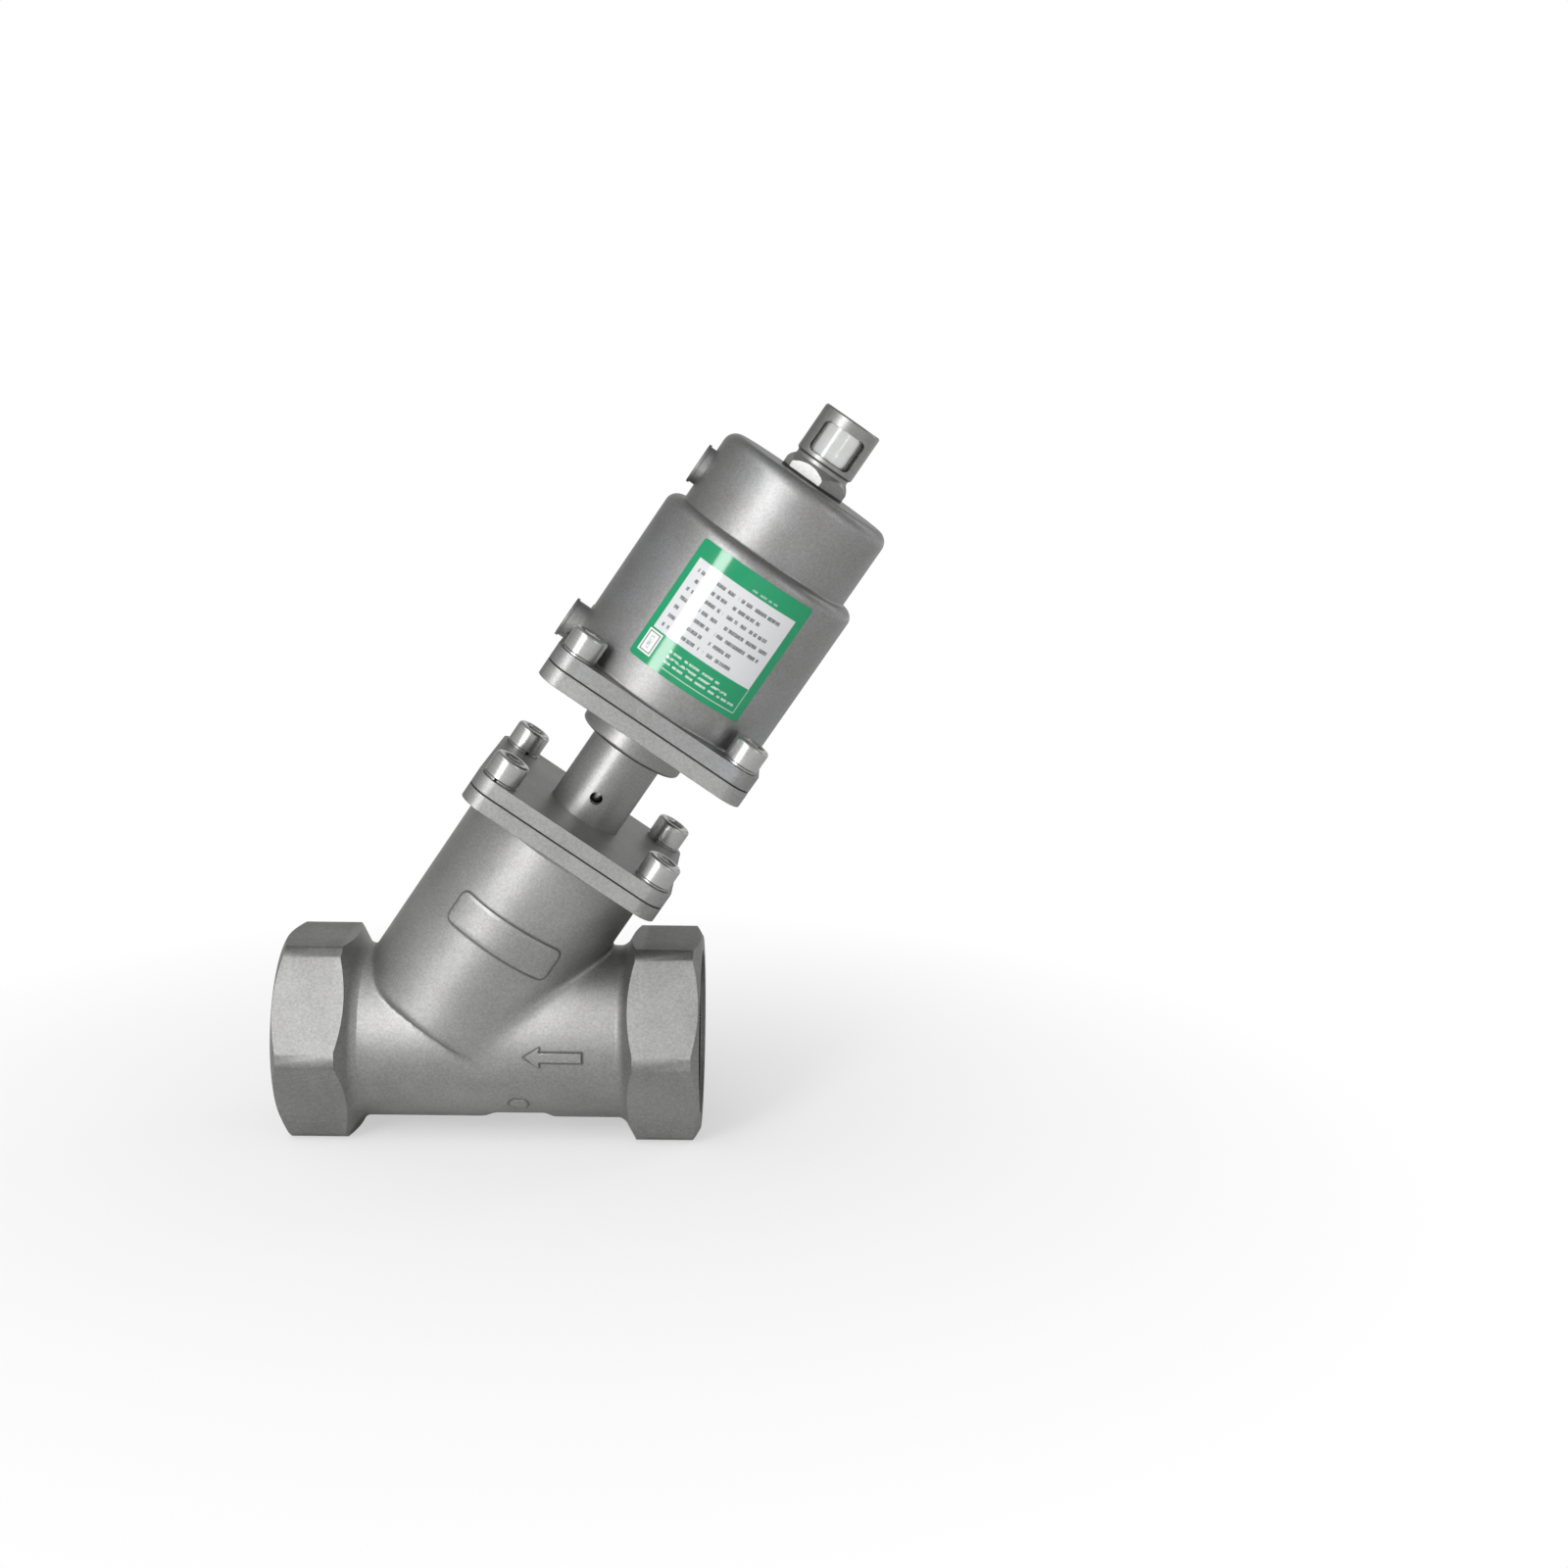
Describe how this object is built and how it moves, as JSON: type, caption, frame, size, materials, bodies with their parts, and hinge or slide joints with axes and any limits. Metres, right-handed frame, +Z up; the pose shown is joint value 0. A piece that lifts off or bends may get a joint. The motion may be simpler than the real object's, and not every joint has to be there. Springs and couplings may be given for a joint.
{
  "type": "pneumatic angle seat valve",
  "caption": "Pneumatic angle seat valve with threaded pipe ends, a packed stem, a spring-return piston actuator, two air ports and a sight-glass position indicator.",
  "frame": {"origin": "middle of the outlet port's face", "axes": "+X along the pipe from the outlet to the inlet, +Z up, +Y away from the labelled side"},
  "size_m": [0.2132, 0.082, 0.2626],
  "materials": {
    "cast_steel": "bead blasted",
    "plate_steel": "fine blasted",
    "bright_steel": "machined",
    "black_rubber": "matt",
    "white_plastic": "matt",
    "bronze": "machined",
    "label_green": "glossy film",
    "indicator_red": "matt",
    "clear_tube": "clear"
  },
  "bodies": {
    "valve": {"valve_body": "cast_steel", "bonnet_gasket": "black_rubber", "bonnet_plate": "plate_steel", "bonnet_screws": "bright_steel", "bonnet_washers": "bright_steel", "yoke_tube": "bright_steel", "packing_lower_ring": "bright_steel", "packing_rings": "white_plastic", "packing_upper_ring": "bright_steel", "packing_springs": "bright_steel", "packing_gland": "bronze"},
    "actuator": {"swivel_collar": "bright_steel", "actuator_base": "plate_steel", "base_gasket": "black_rubber", "stem_bush": "bronze", "stem_seal": "black_rubber", "stem_seal_ring": "bright_steel", "actuator_housing": "cast_steel", "actuator_screws": "bright_steel", "actuator_washers": "bright_steel", "label": "label_green", "indicator_washer": "black_rubber", "indicator_housing": "bright_steel", "sight_tube": "clear_tube", "closing_spring": "bright_steel"},
    "stem": {"stem": "bright_steel", "valve_disc": "bright_steel", "seat_seal": "white_plastic", "seal_retainer": "bright_steel", "disc_nut": "bright_steel", "piston": "plate_steel", "piston_seal": "black_rubber", "piston_guide_ring": "white_plastic", "piston_nut": "bright_steel", "indicator_rod": "indicator_red"}
  },
  "joints": [
    {"name": "actuator_swivel", "type": "hinge", "parent": "valve", "child": "actuator", "pos_m": [0.0526, 0, 0], "axis": [0.5592, 0, 0.829], "continuous": true},
    {"name": "stem_travel", "type": "slide", "parent": "actuator", "child": "stem", "axis": [0.5592, 0, 0.829], "range_m": [0, 0.02], "stiffness_N_per_m": 400, "springref_m": -0.01, "deforming": ["closing_spring"]}
  ]
}
